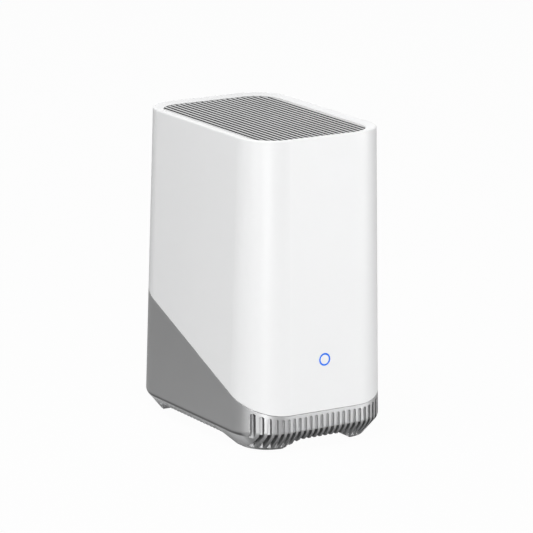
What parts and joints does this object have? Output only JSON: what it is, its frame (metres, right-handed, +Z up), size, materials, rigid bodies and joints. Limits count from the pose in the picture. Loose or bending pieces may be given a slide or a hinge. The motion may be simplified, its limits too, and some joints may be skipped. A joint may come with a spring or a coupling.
{
  "type": "security camera base station",
  "caption": "Free-standing base station for home security cameras: tapered white cover on a finned grey base, slatted air outlet on top, status light ring, pull-out drive tray at the rear.",
  "frame": {"origin": "on the floor under the middle of the body", "axes": "+Z up, -Y out of the front with the status light, +Y out of the rear with the sockets, +X to the right seen from the front"},
  "size_m": [0.1, 0.142, 0.187],
  "materials": {
    "cover_white": "white moulded plastic with a fine satin texture",
    "base_grey": "mid grey moulded plastic, satin on the fins",
    "grille_grey": "light grey moulded plastic",
    "plate_grey": "grey moulded plastic",
    "pad_rubber": "black rubber",
    "light_blue": "translucent light guide, lit blue",
    "sheet_steel": "zinc-plated sheet steel",
    "screw_steel": "zinc-plated steel",
    "sink_aluminium": "extruded aluminium",
    "board_green": "circuit board with a green solder mask",
    "chip_black": "moulded chip casing",
    "socket_black": "black socket housing",
    "contact_brass": "plated contact",
    "frame_black": "dark structural plastic",
    "thermal_grey": "soft thermal pad",
    "foam_black": "foam gasket",
    "magnet_dark": "coated ferrite magnet",
    "cone_paper": "coated paper",
    "lead_black": "thin insulated lead",
    "ribbon_white": "flat flexible ribbon"
  },
  "bodies": {
    "housing": {"outer_cover": "cover_white", "light_cap": "cover_white", "top_grille": "grille_grey", "base_shell": "base_grey", "bottom_plate": "plate_grey", "foot_pads": "pad_rubber", "light_ring": "light_blue", "led_board": "board_green", "light_leds": "ribbon_white", "drive_cage": "sheet_steel", "drive_board": "board_green", "drive_socket": "socket_black", "io_board": "board_green", "network_socket": "socket_black", "usb_socket": "sheet_steel", "usb_tongue": "socket_black", "power_socket": "socket_black", "power_pin": "contact_brass", "sync_switch": "chip_black", "button_board": "board_green", "frame_side_left": "frame_black", "frame_side_right": "frame_black", "frame_panel": "frame_black", "frame_bars": "frame_black", "main_board": "board_green", "heat_sink": "sink_aluminium", "thermal_pad": "thermal_grey", "processor": "chip_black", "memory_chips": "chip_black", "storage_chip": "chip_black", "wifi_can": "sheet_steel", "radio_can": "sheet_steel", "ribbon_sockets": "socket_black", "ribbon_cable": "ribbon_white", "speaker_baffle": "frame_black", "speaker_gasket": "foam_black", "speaker_frame": "frame_black", "speaker_magnet": "magnet_dark", "speaker_cone": "cone_paper", "wifi_antenna": "board_green", "camera_antenna": "board_green", "long_range_antenna": "board_green", "antenna_lead_left": "lead_black", "antenna_lead_right": "lead_black", "antenna_lead_rear": "lead_black", "speaker_lead": "lead_black", "light_lead": "lead_black", "drive_lead": "lead_black", "plate_screws": "screw_steel", "frame_screws": "screw_steel", "io_screws": "screw_steel", "main_screws": "screw_steel", "sink_screws": "screw_steel", "speaker_screws": "screw_steel", "button_screws": "screw_steel"},
    "tray": {"drive_tray": "base_grey"},
    "handle": {"tray_handle": "base_grey"},
    "button": {"sync_button": "base_grey", "switch_plunger": "socket_black"}
  },
  "joints": [
    {"name": "tray_slide", "type": "slide", "parent": "housing", "child": "tray", "axis": [0, 1, 0], "range_m": [0, 0.1]},
    {"name": "handle_hinge", "type": "hinge", "parent": "tray", "child": "handle", "pos_m": [0, 0.06946, 0.0159], "axis": [-1, 0, 0], "range_deg": [0, 80]},
    {"name": "button_press", "type": "slide", "parent": "housing", "child": "button", "axis": [0, -1, 0], "range_m": [0, 0.0008], "stiffness_N_per_m": 1500, "springref_m": -0.0003}
  ]
}
